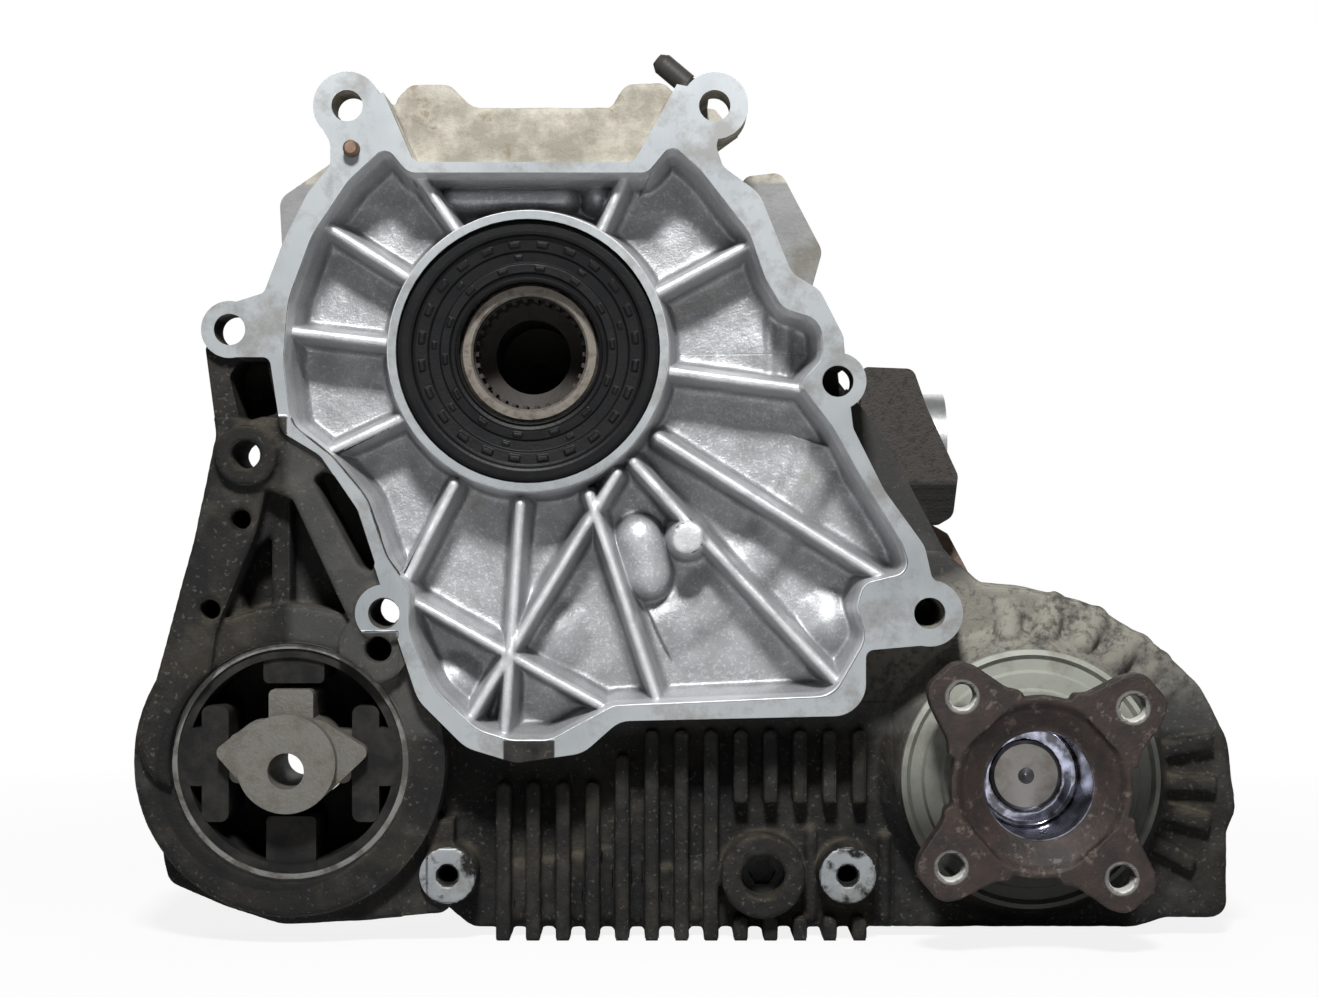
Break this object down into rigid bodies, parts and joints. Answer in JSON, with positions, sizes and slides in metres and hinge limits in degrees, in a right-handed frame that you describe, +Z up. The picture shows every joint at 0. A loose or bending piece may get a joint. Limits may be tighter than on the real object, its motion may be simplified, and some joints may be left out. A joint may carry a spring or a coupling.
{
  "type": "transfer case",
  "caption": "Chain-driven transfer case with finned aluminium housing, bell flange, sealed input bore, offset four-arm output flange and rubber bush mount.",
  "frame": {"origin": "centre of the input bore, just inside its mouth, 22 mm behind the gearbox face", "axes": "+X to the right seen from the gearbox, +Y back along the propeller shaft (the input axis), +Z up"},
  "size_m": [0.4014, 0.219, 0.3288],
  "materials": {
    "cast_case": "rough cast, with machined faces",
    "zinc_screws": "zinc plated",
    "pin_steel": "aged steel",
    "black_rubber": "matt",
    "bearing_steel": "ground",
    "motor_can": "drawn can",
    "black_plastic": "matt",
    "damping_foam": "fuzzy",
    "light_sleeve": "drawn",
    "core_aluminium": "cast",
    "chain_steel": "oiled",
    "shaft_steel": "turned",
    "rusty_steel": "light rust",
    "friction_lining": "paper lining",
    "pale_shield": "moulded, satin"
  },
  "bodies": {
    "case": {"gearbox_flange": "cast_case", "front_housing": "cast_case", "rear_housing": "cast_case", "case_bolts": "zinc_screws", "dowel_pin": "pin_steel", "input_seal": "black_rubber", "main_front_bearing": "bearing_steel", "main_rear_bearing": "bearing_steel", "rear_output_seal": "black_rubber", "output_front_bearing": "bearing_steel", "output_rear_bearing": "bearing_steel", "front_output_seal": "black_rubber", "servo_motor": "motor_can", "servo_connector": "black_plastic", "motor_wrap": "damping_foam", "mount_sleeve": "light_sleeve", "mount_rubber": "black_rubber", "mount_core": "core_aluminium", "filler_plug": "zinc_screws", "drain_plug": "zinc_screws", "bracket_tab": "pin_steel", "breather_pipe": "black_plastic", "oil_pump_body": "core_aluminium", "ramp_support_bearing": "bearing_steel", "drive_chain": "chain_steel", "ramp_balls": "bearing_steel"},
    "main_shaft": {"input_sleeve": "shaft_steel", "main_shaft": "shaft_steel", "rear_output_flange": "rusty_steel", "rear_flange_nut": "pin_steel", "clutch_hub": "shaft_steel", "friction_plates": "friction_lining", "oil_pump_rotor": "shaft_steel"},
    "clutch_drum": {"drive_sprocket": "shaft_steel", "clutch_basket": "shaft_steel", "steel_plates": "shaft_steel", "drum_needle_sleeve": "bearing_steel"},
    "front_output": {"front_output_shaft": "shaft_steel", "driven_sprocket": "shaft_steel", "front_output_flange": "rusty_steel", "dust_shield": "pale_shield"},
    "pressure_plate": {"pressure_plate": "shaft_steel"},
    "front_lever": {"ramp_lever_front": "shaft_steel", "clutch_thrust_bearing": "bearing_steel"},
    "rear_lever": {"ramp_lever_rear": "shaft_steel"},
    "cam": {"control_cam": "shaft_steel"},
    "worm": {"servo_worm": "shaft_steel"}
  },
  "joints": [
    {"name": "main_shaft_spin", "type": "hinge", "parent": "case", "child": "main_shaft", "pos_m": [0, 0, 0], "axis": [0, 1, 0], "continuous": true},
    {"name": "drum_spin", "type": "hinge", "parent": "case", "child": "clutch_drum", "pos_m": [0, 0, 0], "axis": [0, 1, 0], "continuous": true, "deforming": ["drive_chain"]},
    {"name": "front_output_spin", "type": "hinge", "parent": "case", "child": "front_output", "pos_m": [0.18134, 0, -0.15433], "axis": [0, 1, 0], "continuous": true, "deforming": ["drive_chain"]},
    {"name": "cam_turn", "type": "hinge", "parent": "case", "child": "cam", "pos_m": [0.086, 0, -0.008], "axis": [0, 1, 0], "range_deg": [0, 90]},
    {"name": "worm_turn", "type": "hinge", "parent": "case", "child": "worm", "pos_m": [0, 0.087, -0.0315], "axis": [1, 0, 0], "range_deg": [0, 2160]},
    {"name": "front_lever_turn", "type": "hinge", "parent": "case", "child": "front_lever", "pos_m": [0, 0, 0], "axis": [0, 1, 0], "range_deg": [-3, 0]},
    {"name": "rear_lever_turn", "type": "hinge", "parent": "case", "child": "rear_lever", "pos_m": [0, 0, 0], "axis": [0, 1, 0], "range_deg": [0, 3]},
    {"name": "plate_press", "type": "slide", "parent": "case", "child": "pressure_plate", "axis": [0, -1, 0], "range_m": [0, 0.0008]}
  ],
  "couplings": [
    {"joint": "front_output_spin", "follows": "drum_spin", "ratio": 1},
    {"joint": "worm_turn", "follows": "cam_turn", "ratio": 24},
    {"joint": "front_lever_turn", "follows": "cam_turn", "ratio": -0.029473},
    {"joint": "rear_lever_turn", "follows": "cam_turn", "ratio": 0.029473},
    {"joint": "plate_press", "follows": "cam_turn", "m_per_rad": 0.000446}
  ]
}
